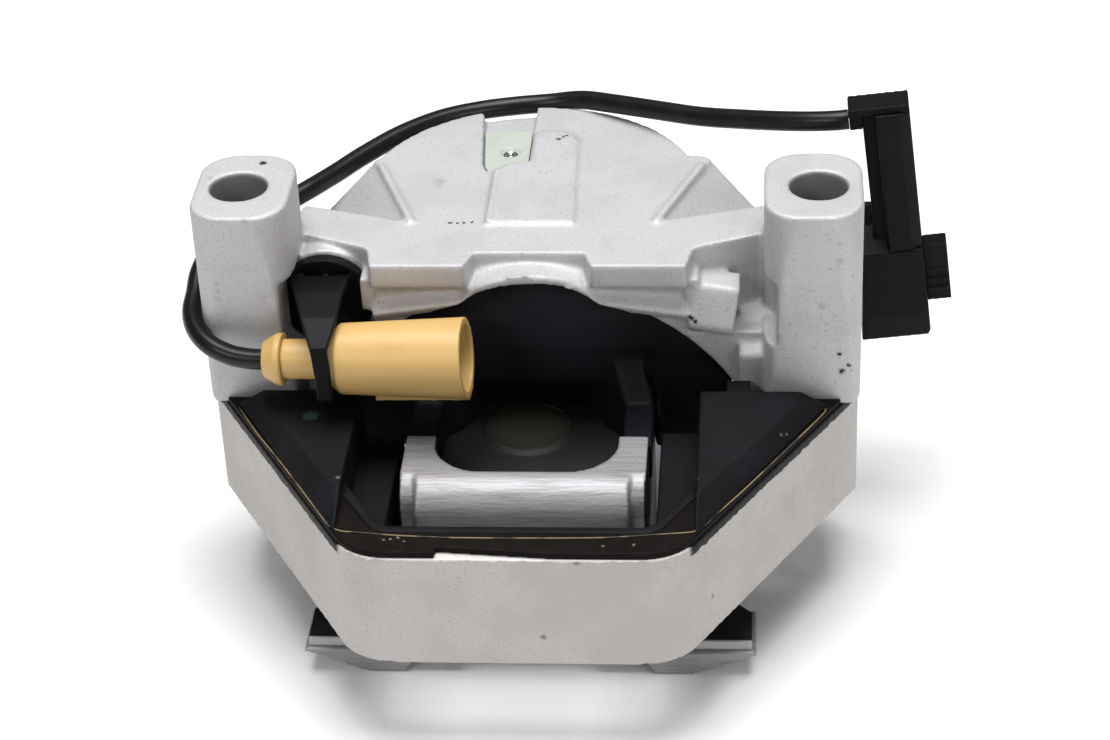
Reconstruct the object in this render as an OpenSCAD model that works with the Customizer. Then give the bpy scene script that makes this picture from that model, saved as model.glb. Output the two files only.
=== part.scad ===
// Switchable hydraulic engine mount: a cast bolt bridge with a fluid chamber over
// a stop frame, a rubber-borne core with two feet, and a clipped electric lead.
// X runs along the bolt line, Y away from the stop frame, Z up along the bolts.
// The origin lies midway between the bolt axes, on the underside of the frame.

/* [Bolts and posts] */
// Distance between the two bolt axes
bolt_pitch = 131.4; // [126:0.2:138]
// Diameter of the bolt bores
bolt_bore_d = 13; // [10:0.5:14]
// Height of the post tops above the frame's underside
post_top_z = 78.9; // [74:0.1:84]
// Width of a post along the bolt line
post_w = 22.2; // [20:0.1:24]
// Depth of a post at its top
post_depth = 30.9; // [28:0.1:33]
// Corner radius of a post
post_r = 8.5; // [4:0.5:9]
// How far a post's front leans back from its top to its foot
post_draft = 3.8; // [1:0.1:5]
// Offset of a post's middle from its bolt, towards the other post
post_inset = 1.1; // [0:0.1:1.5]

/* [Bridge and chamber housing] */
// Height of the bridge top and the chamber lid
deck_z = 63; // [61.5:0.1:66]
// Distance of the chamber axis behind the bolt line
chamber_y = 30; // [29:0.5:32]
// Outer radius of the chamber housing
chamber_r = 39.7; // [38.5:0.1:41]
// Inner radius of the chamber housing
chamber_bore_r = 33; // [32.5:0.1:34]
// Thickness of the chamber lid
lid_t = 5; // [4:0.1:5.5]
// Height of the housing's lower rim
housing_rim_z = 22; // [20:0.5:26]
// Thickness of the front wall over the arch
wall_t = 7; // [5:0.5:9]
// Reach of the lip along the arch in front of the wall
lip_reach = 3.6; // [2:0.1:5]

/* [Stop frame] */
// Height of the cast frame
frame_h = 28; // [26:0.5:30]
// Distance from the bolt axes to the frame's outer sides
frame_wing = 9.6; // [8.5:0.1:12]
// Distance from the bolt line to the front wall's outer face
frame_front = 73; // [71:0.5:76]
// Half width of the straight front wall, at its sharp corners
front_half_w = 35.4; // [33:0.1:38]
// Radius of the front corners
front_r = 14; // [8:0.5:18]
// Wall thickness of the frame
frame_wall = 6.5; // [5:0.1:7.5]
// Thickness of the coated sheet of the cage
cage_t = 1.5; // [1:0.1:2]

/* [Core and feet] */
// Half width of the core
core_half_w = 27.5; // [26.5:0.1:28.5]
// Half width of the pocket between the prongs
pocket_half_w = 20.8; // [18:0.1:22]
// Height of the core's front bar
core_top_z = 28.6; // [27:0.1:30]
// Height of the pocket floor
pocket_z = 16; // [12:0.5:18]
// Depth of the core below the frame's underside
core_drop = 22.8; // [21:0.1:25]
// Half width over the two feet
feet_half_w = 52; // [47:0.5:54]
// Diameter of the fastening thread's bore in the core
core_thread_d = 10.2; // [8:0.1:11]
// Thickness of the rubber on each foot
foot_pad_t = 2.4; // [1.5:0.1:4]

/* [Rubber and fluid pack] */
// Height of the stop pads' tops
pad_top_z = 33.6; // [32:0.1:35]
// Distance of the stop pads from the middle plane
pad_inner_x = 39; // [37:0.1:41]
// Rubber skin round the collar
skin_t = 1; // [0.8:0.1:1.4]
// Wall of the steel collar in the rubber
collar_t = 1.5; // [1:0.1:2]
// Thickness of each half of the channel plate
plate_t = 4.2; // [3.5:0.1:4.6]
// Free gap round parts that drop into place
fit_gap = 0.1; // [0.05:0.05:0.2]

/* [Lead and connector] */
// Diameter of the lead
lead_d = 4.8; // [4:0.1:5.2]
// Radius of the connector's shell
shell_r = 9.3; // [8.5:0.1:9.6]
// Radius of the connector's neck
neck_r = 4.6; // [4.2:0.1:5.2]
// Overall length of the connector
shell_len = 47.2; // [45:0.1:50]
// Wall of the connector's mouth
mouth_wall = 1.8; // [1.4:0.1:2.4]

/* [Control unit] */
// Lean of the unit towards the mount
unit_lean = 6.6; // [4:0.1:9]
// Height of the unit along its lean
unit_h = 63.2; // [59:0.1:68]
// Width of the unit's lower box
unit_box_w = 20.6; // [18.5:0.1:22.5]
// Height of the unit's lower box
unit_box_h = 24.8; // [22:0.1:27]
// Depth of the unit's lower box
unit_depth = 13; // [11:0.5:14]

/* [Hidden] */
$fn = 64;
e = 0.01;

silver = "#c9c8cc";
cast_grey = "#d4d1cd";
rubber_black = "#26262b";
coat_brown = "#2c2522";
steel_grey = "#8c8f94";
white_plastic = "#e4ebe4";
beige_plastic = "#ecd3a0";
black_plastic = "#1d1d20";
brass_yellow = "#c9a552";

bolt_x = bolt_pitch / 2;
post_x = bolt_x - post_inset;
post_back_y = post_depth / 2 + 0.1;
post_front_y = -post_depth / 2 + 0.1;
post_foot_y = post_front_y + post_draft;

// Front wall of the bridge, and the deck's stepped edge over it
wall_y = -4.6;
deck_t = 6;
crown_edge_y = -2.9;
land_y = -8.8;
land_in_x = 14.5;
land_out_x = 36;
land_low_z = deck_z - 9;
ledge_z = deck_z - 12;
sill_z = deck_z - 20;
recess_y = 0.2;
recess_end = [53.7, 6.2];
deck_rear = [[54.4, 19.8], [51, 18.8], [38.6, 15.1], [28.3, 11.8]];

// Arch: a wide arc and a smaller one over its crown
arch_r = 55.3;
arch_z = -0.8;
crown_r = 23.2;
crown_z = 35.3;

// Lip along the arch: a ring over the crown and a run-out to each side
lip_y = wall_y - lip_reach;
lip_slope = 1.6;
lip_ring_r = 19.8;
lip_ring_z = 40.6;
lip_run_x = 15;
lip_run_z = deck_z - 10.4;
lip_run_len = 22.6;
lip_fall = 8.4;

// Stepped block at the bridge's right end, and the flutes beside the posts
block_z = deck_z - 5.9;
block_h = 12.4;
block_x = 2;
block_len = 10.4;
block_fall = 9.8;
flute_x = 52.3;
flute_y = -0.5;
flute_r = 4.2;
flute_top_z = deck_z - 2.5;
runout_x = 47.6;
runout_len = 10.4;

// Chamber housing
ceiling_z = deck_z - lid_t;
collar_top_z = ceiling_z - 1.2;
lid_x = -2;
lid_step = 7;
flange_reach = 2.2;
flange_h = 5;
side_rib_t = 3.2;
side_rib_h = 31;
shoulder_low_z = housing_rim_z + 12;
shoulder_slope = 35;
rib_w = 1.6;
rib_len = 30;
rib_foot = [28.4, 11];
rib_turn = 20.4;
relief_h = 0.8;

// Notch and plug in the lid
notch_z = deck_z - 2.6;
plug_x = -8.1;
plug_y = chamber_y + 17.3;
plug_t = 1.8;
plug_stem_r = 3;
rivet_r = 1.2;
rivet_head_r = 1.9;

// Stop frame
frame_half_w = bolt_x + frame_wing;
diag_dx = frame_half_w - front_half_w;
shoulder_y = -5.6;
diag_dy = frame_front + shoulder_y;
diag_len = sqrt(diag_dx * diag_dx + diag_dy * diag_dy);
column_in_x = frame_half_w - 25.3;
column_front_y = -10;
cage_z = frame_h + cage_t;
rear_r = 8;

// Core
core_base_z = -core_drop;
core_end_y = chamber_y + 19;
core_end_r = 40;
core_front_y = -34;
pocket_front_y = -40.4;
pocket_r = 11.5;
thread_boss_r = 12;
flank_w = 3.6;
recess_wall = 5;
recess_h = 18;
recess_rib = 3;
recess_rib_x = 8.3;
boss_r = 17.5;
boss_top_r = 11;
boss_top_z = pocket_z + 16;
boss_flare = (boss_r - boss_top_r) / (boss_top_z - pocket_z);
spring_foot_r = boss_r + 5.8;
disc_at = [-1.9, -4.8];
disc_r = 10.4;
thread_y = -7;
thread_depth = 20;
foot_front_y = -48;
foot_back_y = -32;
foot_top_z = -16.2;

// Fluid pack, from the collar's flange upwards
flange_z = 41;
plate_z = flange_z + collar_t;
upper_plate_z = plate_z + plate_t;
bellows_z = upper_plate_z + plate_t;
pack_r = chamber_bore_r - skin_t - collar_t - fit_gap;
membrane_r = 14;
membrane_t = 2.4;
rim_h = 2.5;
bellows_wall = 1.4;
cowl_y = -3.2;

// Connector: its axis starts at the cap's outer face
shell_x = -59.7;
shell_y = -20;
shell_z = 45.1;
shell_yaw = -3;
shell_pitch = 2.4;
cap_len = 4.5;
cap_flare = 1.4;
neck_end = 14.4;
nose_len = 3.4;
mouth_depth = 22;
mouth_slant = -2;
shell_draft = 1.2;
rail_x = 25.2;
rail_w = 6;
rail_h = 0.2;
insert_len = 5;
pin_r = 0.8;
pin_y = 2.5;
pin_len = 13;

// Clip on its boss: a round head and one strap
clip_x = -47.6;
clip_z = deck_z - 13;
clip_face_y = 0.3;
clip_boss_r = 11.7;
clip_boss_h = 8;
clip_head_r = 10.9;
clip_head_t = 3;
clip_gap = 0.4;
clip_t = 1.4;

// Control unit, screwed to the plate of the casting's arm
unit_x = 73.7;
unit_y = 30;
unit_z = 17.7;
unit_left = 3.8;
unit_flare = 2.4;
cover_x = 12.6;
cover_w = unit_box_w - cover_x;
cover_t = 4;
cover_z = unit_box_h + 0.2;
column_x = 9.4;
top_h = 1.8;
top_y = 1;
boot_len = 3;
boot_h = 4.8;
boot_y = 4;
boot_w = 5;
socket_z = 8.3;
socket_h = 15.3;
socket_w = 5.4;
socket_len = 5.7;
socket_wall = 1;
arm_z0 = 24;
arm_z1 = 43;
arm_t = 5;
arm_y = unit_y + unit_depth;
screw_r = 2.1;
screw_head_r = 3.5;
screw_head_t = 2.4;
screw_at_x = [8.2, 15.6];
screw_at_z = 15.8;
screw_bite = 8;

// Route of the lead, from the unit's top to the connector's cap
lead_route = [
    [73.2, 36.5, 76.4], [70, 36.6, 76], [64, 38.2, 75], [57, 41.2, 73.6], [49, 45.5, 71.8],
    [38, 51.8, 69.4], [26, 59.5, 67.4], [16, 65.7, 65.9], [8, 70.4, 64.5], [0, 72.8, 62.7],
    [-9, 72.6, 62], [-18, 69.5, 62.1], [-27, 64.4, 62.4], [-36, 56.4, 62.3], [-44, 47.2, 61.6],
    [-50, 39, 61], [-56.5, 29.9, 60.8], [-63, 23.8, 59.6], [-70, 19.6, 57.3], [-76.2, 14.4, 54.6],
    [-78.5, 7, 52.4], [-78.7, 0, 50.4], [-78.5, -6, 49.1], [-76.6, -12, 48.1],
    [-72.9, -16.8, 47], [-67.8, -19.2, 45.7], [-63, -19.9, 45.1], [-59.7, -20, 45.1]
];
lead_sides = 8;

// A mirrored pair, one on each side of the middle plane
module both_sides() {
    for (s = [0, 1]) mirror([s, 0, 0]) children();
}

module rounded_rect(w, d, r) {
    union() {
        square([w - 2 * r, d], center = true);
        square([w, d - 2 * r], center = true);
        for (x = [-1, 1], y = [-1, 1])
            translate([x * (w / 2 - r), y * (d / 2 - r)]) circle(r);
    }
}

// Stop frame outline, moved inwards by d; the front corners keep their arc centres
function diag_x(y, d) = front_half_w + (y + frame_front) * diag_dx / diag_dy - d * diag_len / diag_dy;
function arc_pts(cx, cy, r, a0, a1, n) =
    [for (i = [0:n]) let(a = a0 + (a1 - a0) * i / n) [cx + r * cos(a), cy + r * sin(a)]];
turn = atan2(diag_dy, diag_dx);
corner_cy = -frame_front + front_r;
corner_cx = front_half_w - front_r * tan(turn / 2);

module frame_outline(d, back_y) {
    r = max(front_r - d, 1);
    right = arc_pts(corner_cx, corner_cy, r, -90, -90 + turn, 8);
    left = [for (i = [len(right) - 1:-1:0]) [-right[i][0], right[i][1]]];
    side = d == 0 ? concat([[frame_half_w, shoulder_y]],
                           arc_pts(frame_half_w - rear_r, back_y - rear_r, rear_r, 0, 90, 6))
                  : [[diag_x(back_y, d), back_y]];
    side_left = [for (i = [len(side) - 1:-1:0]) [-side[i][0], side[i][1]]];
    polygon(concat(right, side, side_left, left));
}

// Space inside the frame: the trapezoid, then the gap between the columns
module frame_opening(d) {
    union() {
        frame_outline(frame_wall + d, column_front_y - d);
        translate([-column_in_x + d, column_front_y - d - e])
            square([2 * (column_in_x - d), 40]);
    }
}

module post() {
    difference() {
        intersection() {
            translate([post_x, (post_front_y + post_back_y) / 2, frame_h])
                linear_extrude(post_top_z - frame_h) rounded_rect(post_w, post_depth, post_r);
            rotate([90, 0, 90]) linear_extrude(2 * frame_half_w)
                polygon([[post_foot_y, frame_h], [post_front_y, post_top_z],
                         [post_back_y, post_top_z], [post_back_y, frame_h]]);
        }
        translate([bolt_x, 0, frame_h - 1]) cylinder(d = bolt_bore_d, h = post_top_z);
        flute();
    }
}

// Upright flute between the bridge's end and the post, open to the front
module flute() {
    translate([flute_x, flute_y, sill_z + 1]) linear_extrude(flute_top_z - sill_z - 1) union() {
        circle(flute_r);
        translate([-flute_r, -20]) square([2 * flute_r, 20]);
    }
}

// Space under the arch, made smaller all round by d
module arch_opening(d) {
    rotate([90, 0, 0]) translate([0, 0, -chamber_y]) linear_extrude(chamber_y + 20) union() {
        translate([0, arch_z]) circle(arch_r - d, $fn = 96);
        translate([0, crown_z]) circle(crown_r - d);
    }
}

// Top slab of the bridge, with its stepped front edge
module deck() {
    front = [
        [0, crown_edge_y], [land_in_x - 2, crown_edge_y], [land_in_x, land_y], [land_out_x, land_y],
        [land_out_x + 1.4, recess_y - 1.3], [land_out_x + 3, recess_y], recess_end,
        [post_x, recess_end[1] + 2]
    ];
    rear = concat([[post_x, post_back_y], [deck_rear[0][0] + 2, post_back_y]], deck_rear, [[0, 11]]);
    translate([0, 0, deck_z - deck_t]) linear_extrude(deck_t) both_sides() polygon(concat(front, rear));
}

// Side lands under the deck's edge, leaning back to the wall
module lands() {
    both_sides() translate([land_in_x, 0, 0]) rotate([90, 0, 90])
        linear_extrude(land_out_x - land_in_x)
        polygon([[land_y, deck_z - 1], [land_y, deck_z - 2], [wall_y - 0.6, land_low_z],
                 [wall_y - 0.6, ledge_z], [0, ledge_z], [0, deck_z - 1]]);
}

module front_wall() {
    half = [
        [0, frame_h], [post_x, frame_h], [post_x, sill_z], [land_out_x + 0.4, sill_z],
        [land_out_x + 0.4, deck_z - 1], [0, deck_z - 1]
    ];
    translate([0, wall_y + wall_t, 0]) rotate([90, 0, 0]) linear_extrude(wall_t)
        both_sides() polygon(half);
}

// Set-back wall behind the block and the clip's boss, under the deck's edge
module set_back_wall() {
    both_sides() translate([0, 0, sill_z - 3]) linear_extrude(deck_z - sill_z + 2)
        polygon([[land_out_x, recess_y - 1.7], [land_out_x + 3, recess_y], recess_end,
                 [post_x, recess_end[1] + 2], [post_x, 12], [40, 12], [land_out_x, 8]]);
}

// Lip with a sloping top: a ring over the crown and a straight run to each side
module lip() {
    translate([0, lip_y, lip_ring_z]) rotate([-90, 0, 0]) union() {
        cylinder(r1 = lip_ring_r, r2 = lip_ring_r + lip_slope, h = lip_reach - 0.4, $fn = 96);
        translate([0, 0, lip_reach - 0.5])
            cylinder(r = lip_ring_r + lip_slope - 0.05, h = 2, $fn = 96);
    }
    both_sides() translate([lip_run_x, lip_y, lip_run_z]) rotate([0, lip_fall, 0])
        rotate([90, 0, 90]) linear_extrude(lip_run_len)
        polygon([[0, 0], [lip_reach - 0.6, 3], [lip_reach + 1.5, 3], [lip_reach + 1.5, -2.5],
                 [1.2, -1.9]]);
}

// Right end of the bridge: a block with a leaning face, falling towards the post
module end_block() {
    translate([land_out_x, 0, block_z]) rotate([0, block_fall, 0]) rotate([90, 0, 90])
        translate([0, 0, block_x]) linear_extrude(block_len)
        polygon([[2, 0], [-5.4, 0], [-6.2, -0.7], [lip_y - 0.3, 2.8 - block_h],
                 [lip_y + 0.3, 1.4 - block_h], [wall_y, -block_h], [2, -block_h]]);
}

// Sloping foot of the flute, over the frame's column
module runout() {
    both_sides() translate([runout_x, 0, 0]) rotate([90, 0, 90]) linear_extrude(runout_len)
        polygon([[6.5, sill_z + 3.5], [3, sill_z + 1.8], [-1, sill_z - 0.4], [-5, sill_z - 2.3],
                 [lip_y + 0.2, sill_z - 4.4], [lip_y + 1.4, frame_h], [6.5, frame_h]]);
}

// Shoulder between the lid and the bridge's end, and the slope that it is cut to
module shoulder() {
    translate([0, 0, shoulder_low_z]) linear_extrude(deck_z - shoulder_low_z)
        polygon([[20, 6], [56, 12], [56, 19.5], [51.5, 35], [44.1, 40.1], [37.6, 44.5], [20, 44]]);
}

module shoulder_cut() {
    translate([rib_foot[0], rib_foot[1], deck_z]) rotate([0, 0, -rib_turn])
        rotate([0, shoulder_slope, 0]) translate([rib_w / 2, -30, 0]) cube([60, 100, 40]);
}

module housing_body() {
    difference() {
        union() {
            translate([0, chamber_y, housing_rim_z])
                cylinder(r = chamber_r, h = deck_z - lid_step - housing_rim_z + 1, $fn = 128);
            translate([lid_x, chamber_y, deck_z - lid_step])
                cylinder(r = chamber_r, h = lid_step, $fn = 128);
            translate([0, chamber_y, housing_rim_z])
                cylinder(r = chamber_r + flange_reach, h = flange_h, $fn = 128);
            for (a = [20, 55, 90, 125, 160])
                translate([0, chamber_y, housing_rim_z]) rotate([0, 0, a])
                    translate([chamber_r - 2, -side_rib_t / 2, 0])
                    cube([flange_reach + 2, side_rib_t, side_rib_h]);
            both_sides() shoulder();
        }
        both_sides() shoulder_cut();
    }
}

// Ribs on the lid: the middle pad, the two slanting ribs and the rim
module lid_relief() {
    translate([0, 0, deck_z - 1]) linear_extrude(relief_h + 1)
        polygon([[-10.2, 10.2], [9.6, 10.2], [8.3, 51], [6.6, 54.2], [3.8, 55.7], [-0.6, 55.7],
                 [-2.5, 54.4], [-2.5, 40.3], [-8.4, 38.9], [-10.2, 36.2]]);
    translate([-11, 10.2, deck_z - 1]) cube([1, 26, relief_h + 1.4]);
    both_sides() translate([rib_foot[0], rib_foot[1], deck_z - 2]) rotate([0, 0, -rib_turn])
        translate([-rib_w / 2, 0, 0]) cube([rib_w, rib_len, relief_h + 2]);
}

module clip_boss() {
    translate([clip_x, clip_face_y, clip_z]) rotate([-90, 0, 0])
        cylinder(r = clip_boss_r, h = clip_boss_h);
}

// Seat round the clip's head, faced off in front of its boss
module clip_seat() {
    intersection() {
        translate([clip_x, clip_face_y - 20, clip_z]) rotate([-90, 0, 0])
            cylinder(r = clip_head_r + clip_gap, h = 20);
        translate([-flute_x - flute_r, -40, 0]) cube([40, 80, 80]);
    }
}

// Arm that carries the control unit on a plate behind it
module unit_arm() {
    translate([0, 0, arm_z0]) linear_extrude(arm_z1 - arm_z0)
        polygon([[30, 20], [48, 22], [unit_x - 4, arm_y], [unit_x + 17, arm_y],
                 [unit_x + 17, arm_y + arm_t], [unit_x - 8, arm_y + arm_t], [34, 52]]);
}

// Places children at each screw of the control unit, with Z along the screw
module at_screws(y) {
    for (x = screw_at_x)
        on_unit() translate([x, y, screw_at_z]) rotate([-90, 0, 0]) children();
}

module support_casting() {
    color(silver) difference() {
        union() {
            both_sides() post();
            deck();
            lands();
            difference() {
                union() {
                    front_wall();
                    set_back_wall();
                    lip();
                    end_block();
                    runout();
                    clip_boss();
                }
                arch_opening(0);
            }
            housing_body();
            lid_relief();
            unit_arm();
        }
        translate([0, chamber_y, housing_rim_z - 1])
            cylinder(r = chamber_bore_r, h = collar_top_z - housing_rim_z + 1, $fn = 128);
        translate([0, chamber_y, housing_rim_z])
            cylinder(r = pack_r + fit_gap, h = ceiling_z - housing_rim_z);
        intersection() {
            arch_opening(0);
            translate([-60, -20, housing_rim_z - 5]) cube([120, chamber_y + 14, 60]);
        }
        clip_seat();
        both_sides() translate([bolt_x, 0, frame_h - 1]) cylinder(d = bolt_bore_d, h = 80);
        translate([plug_x, plug_y, ceiling_z - 1]) cylinder(r = plug_stem_r, h = 10);
        translate([0, 0, notch_z]) linear_extrude(5)
            polygon([[-16.6, 74], [-14.2, 40.2], [-12.9, 36.4], [-10.9, 36.4], [-8.9, 39.4],
                     [-3, 40.9], [-3, 74]]);
        at_screws(unit_depth - 1) cylinder(r = screw_r, h = arm_t + 2, $fn = 32);
    }
}

module stop_frame() {
    color(cast_grey) difference() {
        linear_extrude(frame_h) frame_outline(0, post_back_y);
        translate([0, 0, -1]) linear_extrude(frame_h + 2) frame_opening(0);
        both_sides() translate([bolt_x, 0, -1]) cylinder(d = bolt_bore_d, h = frame_h + 2);
    }
}

// Coated sheet: a flange on the frame and a skirt down its inner wall
module stop_cage() {
    skirt_z = 2;
    color(coat_brown) union() {
        translate([0, 0, frame_h]) linear_extrude(cage_t) difference() {
            frame_outline(0.4, post_foot_y - fit_gap);
            frame_outline(frame_wall + cage_t, post_foot_y - cage_t);
            translate([-column_in_x, post_foot_y - 6]) square([2 * column_in_x, 10]);
            polygon([[-16.6, -frame_front - 2], [-16.6, -frame_front + 2.6],
                     [9, -frame_front + 0.4], [9, -frame_front - 2]]);
        }
        translate([0, 0, skirt_z]) linear_extrude(frame_h - skirt_z) difference() {
            frame_outline(frame_wall, column_front_y);
            frame_outline(frame_wall + cage_t, column_front_y - cage_t);
            translate([-column_in_x, column_front_y - 6]) square([2 * column_in_x, 10]);
        }
    }
}

// Rubber lining with its two three-cornered stop pads
module stop_lining() {
    back_y = -14.8;
    step_x = 30;
    step_z = 22;
    gold_d = 1.3;
    front_in = frame_wall + cage_t + 2.5;
    color(rubber_black) union() {
        translate([0, 0, 4]) linear_extrude(cage_z - 4) difference() {
            frame_outline(frame_wall + cage_t, back_y);
            frame_outline(front_in, back_y + 1);
        }
        both_sides() {
            translate([0, 0, 4]) linear_extrude(cage_z - 4) intersection() {
                frame_outline(frame_wall + cage_t, back_y);
                translate([pad_inner_x, -80]) square([60, 80]);
            }
            translate([0, 0, 4]) linear_extrude(step_z - 4) intersection() {
                frame_outline(frame_wall + cage_t, back_y);
                translate([step_x, -80]) square([pad_inner_x - step_x + 1, 80]);
            }
            hull() {
                translate([0, 0, cage_z]) linear_extrude(0.3)
                    polygon([[pad_inner_x, back_y], [diag_x(back_y, gold_d), back_y],
                             [diag_x(-64, gold_d), -64], [pad_inner_x, -66]]);
                translate([0, 0, pad_top_z - 0.3]) linear_extrude(0.3)
                    polygon([[pad_inner_x, back_y], [61.8, back_y], [60.8, back_y - 5.8],
                             [pad_inner_x, -55.8]]);
            }
        }
    }
}

// Outline of the core from above, moved inwards by d, with its round rear end
module core_plan(d) {
    w = core_half_w - d;
    r = core_end_r - d;
    a0 = acos(w / r);
    polygon(concat([[-w, core_front_y + d], [w, core_front_y + d]],
                   arc_pts(0, core_end_y - core_end_r, r, a0, 180 - a0, 20)));
}

// Front bar of the core with its two prongs, seen from the side
module core_bar() {
    profile = concat(
        [[core_front_y + 4, core_base_z], [-26, core_top_z], [-41, core_top_z]],
        arc_pts(-41.5, core_top_z - 8, 8, 90, 180, 8),
        [[-49.2, 8], [-47, -8], [-45, -15], [-39, -19], [core_front_y - 2, core_base_z]]
    );
    rotate([90, 0, 90]) translate([0, 0, -core_half_w]) linear_extrude(2 * core_half_w)
        polygon(profile);
}

// Step that sets the bar's two ends back from its middle
module flank_steps() {
    profile = concat(
        [[-56, core_top_z + 10], [-39, core_top_z + 10], [-39, core_top_z + 0.5]],
        arc_pts(-40, core_top_z - 6.6, 6.6, 84, 180, 6),
        [[-46.4, 6], [-44, -10], [-36.8, -17.5], [-37.6, core_base_z - 2], [-56, core_base_z - 2]]
    );
    both_sides() translate([core_half_w - flank_w, 0, 0]) rotate([90, 0, 90])
        linear_extrude(flank_w + 1) polygon(profile);
}

// Pocket between the prongs, with its two round front corners
module core_pocket() {
    right = arc_pts(pocket_half_w - pocket_r, pocket_front_y + pocket_r, pocket_r, -90, 0, 8);
    left = [for (i = [len(right) - 1:-1:0]) [-right[i][0], right[i][1]]];
    translate([0, 0, pocket_z]) linear_extrude(20)
        polygon(concat(right, [[pocket_half_w, 6], [-pocket_half_w, 6]], left));
}

module foot() {
    translate([0, foot_back_y, 0]) rotate([90, 0, 0])
        linear_extrude(foot_back_y - foot_front_y)
        polygon([[15, -2], [24, -6], [28, foot_top_z], [feet_half_w, foot_top_z],
                 [feet_half_w, -17], [37, core_base_z], [29, core_base_z], [25.6, -17.8], [15, -17.8]]);
}

// Hollow underside with crossing ribs round the thread's boss
module core_recess() {
    translate([0, 0, core_base_z - 1]) linear_extrude(recess_h + 1) difference() {
        core_plan(recess_wall);
        translate([0, thread_y]) circle(thread_boss_r);
        for (x = [-1, 1]) translate([x * recess_rib_x - recess_rib / 2, -60]) square([recess_rib, 140]);
        for (y = [thread_y, 11, 29]) translate([-40, y - recess_rib / 2]) square([80, recess_rib]);
    }
}

module core() {
    color(silver) union() {
        difference() {
            union() {
                translate([0, 0, core_base_z])
                    linear_extrude(pocket_z - core_base_z) core_plan(0);
                difference() {
                    core_bar();
                    flank_steps();
                }
                both_sides() foot();
            }
            core_pocket();
            core_recess();
            translate([0, thread_y, core_base_z - 1])
                cylinder(d = core_thread_d, h = thread_depth + 1);
        }
        translate([0, chamber_y, pocket_z - 1])
            cylinder(r1 = boss_r + boss_flare, r2 = boss_top_r, h = boss_top_z - pocket_z + 1);
        translate([disc_at[0], disc_at[1], pocket_z - 1]) cylinder(r = disc_r, h = 1.8);
    }
}

module foot_pad() {
    translate([0, 0, foot_top_z]) linear_extrude(foot_pad_t)
        polygon([[29.5, foot_front_y + 1], [feet_half_w - 1, foot_front_y + 1],
                 [feet_half_w - 1, foot_back_y - 4], [feet_half_w - 4, foot_back_y - 1],
                 [29.5, foot_back_y - 1]]);
}

module left_foot_pad() { color(rubber_black) mirror([1, 0, 0]) foot_pad(); }
module right_foot_pad() { color(rubber_black) foot_pad(); }

// Rubber spring between the core's boss and the housing, with its skin round the collar
module main_spring() {
    outer_r = chamber_bore_r;
    inner_r = outer_r - skin_t;
    lip_r = inner_r - collar_t - 3;
    color(rubber_black) union() {
        translate([0, chamber_y, 0]) rotate_extrude($fn = 96)
            polygon([[0, boss_top_z], [boss_top_r, boss_top_z], [boss_r, pocket_z],
                     [spring_foot_r, pocket_z], [spring_foot_r, pocket_z + 4],
                     [spring_foot_r + 1.2, pocket_z + 9], [outer_r - 2, flange_z - 5],
                     [outer_r, flange_z - 1],
                     [outer_r, collar_top_z], [inner_r, collar_top_z], [inner_r, flange_z],
                     [lip_r, flange_z], [boss_top_r + 1, boss_top_z + 1.5], [0, boss_top_z + 1.5]]);
        difference() {
            spring_cowl();
            translate([0, chamber_y, 0]) rotate_extrude($fn = 96)
                polygon([[0, pocket_z - 1], [spring_foot_r - 1, pocket_z - 1],
                         [spring_foot_r - 0.5, pocket_z + 4], [spring_foot_r + 0.2, pocket_z + 9],
                         [outer_r - 3, flange_z - 5], [outer_r - 0.5, flange_z - 1],
                         [outer_r - 0.5, deck_z], [0, deck_z]]);
        }
        both_sides() spring_limb();
    }
}

// Rubber wall that closes the arch, leaning back to the pocket's rear edge, with a
// wing down each flank of the core
module spring_cowl() {
    side_x = 46;
    side_z = 6;
    back_y = 14;
    difference() {
        intersection() {
            arch_opening(fit_gap + 0.3);
            rotate([90, 0, 90]) translate([0, 0, -side_x]) linear_extrude(2 * side_x)
                polygon([[cowl_y + 4.6, 60], [cowl_y + 1.7, 52], [cowl_y + 0.2, 45], [cowl_y, 38],
                         [cowl_y + 1.2, 31], [cowl_y + 2.2, 27.5], [cowl_y + 6, side_z],
                         [back_y, side_z], [back_y, 60]]);
        }
        translate([-core_half_w - fit_gap, -20, -1])
            cube([2 * (core_half_w + fit_gap), 60, pocket_z + 1]);
        rotate([90, 0, 90]) translate([0, 0, -core_half_w - fit_gap])
            linear_extrude(2 * (core_half_w + fit_gap))
            polygon([[cowl_y - 3, pocket_z - 1], [6.8, pocket_z - 1], [6.8, pocket_z],
                     [cowl_y + 2.2, 27.5], [cowl_y - 3, 27.5]]);
    }
}

// Rubber cheek beside the pocket, from the prong back and up into the cowl
module spring_limb() {
    in_x = pocket_half_w;
    out_x = core_half_w + 0.6;
    front_y = -25.8;
    turn_y = -8.5;
    side_h = 9.3;
    hull() {
        translate([0, 0, pocket_z]) linear_extrude(0.3)
            polygon([[in_x, front_y], [out_x, front_y], [out_x, turn_y + 1], [in_x, turn_y + 1]]);
        translate([0, 0, pocket_z + side_h]) linear_extrude(0.3)
            polygon([[in_x + 0.8, front_y], [out_x, front_y], [out_x, turn_y + 1],
                     [in_x + 0.5, turn_y + 1]]);
    }
    hull() {
        translate([0, 0, pocket_z]) linear_extrude(0.3)
            polygon([[in_x, turn_y], [out_x, turn_y], [out_x, 4], [in_x - 8.8, 6.5],
                     [in_x - 3.9, -4.6]]);
        translate([0, 0, pocket_z + side_h]) linear_extrude(0.3)
            polygon([[in_x + 0.5, turn_y], [out_x, turn_y], [out_x, 4], [in_x - 3, 1]]);
        translate([in_x - 2.6, -2, pocket_z + 2 * side_h]) cube([6.5, 6, 1]);
    }
}

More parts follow.
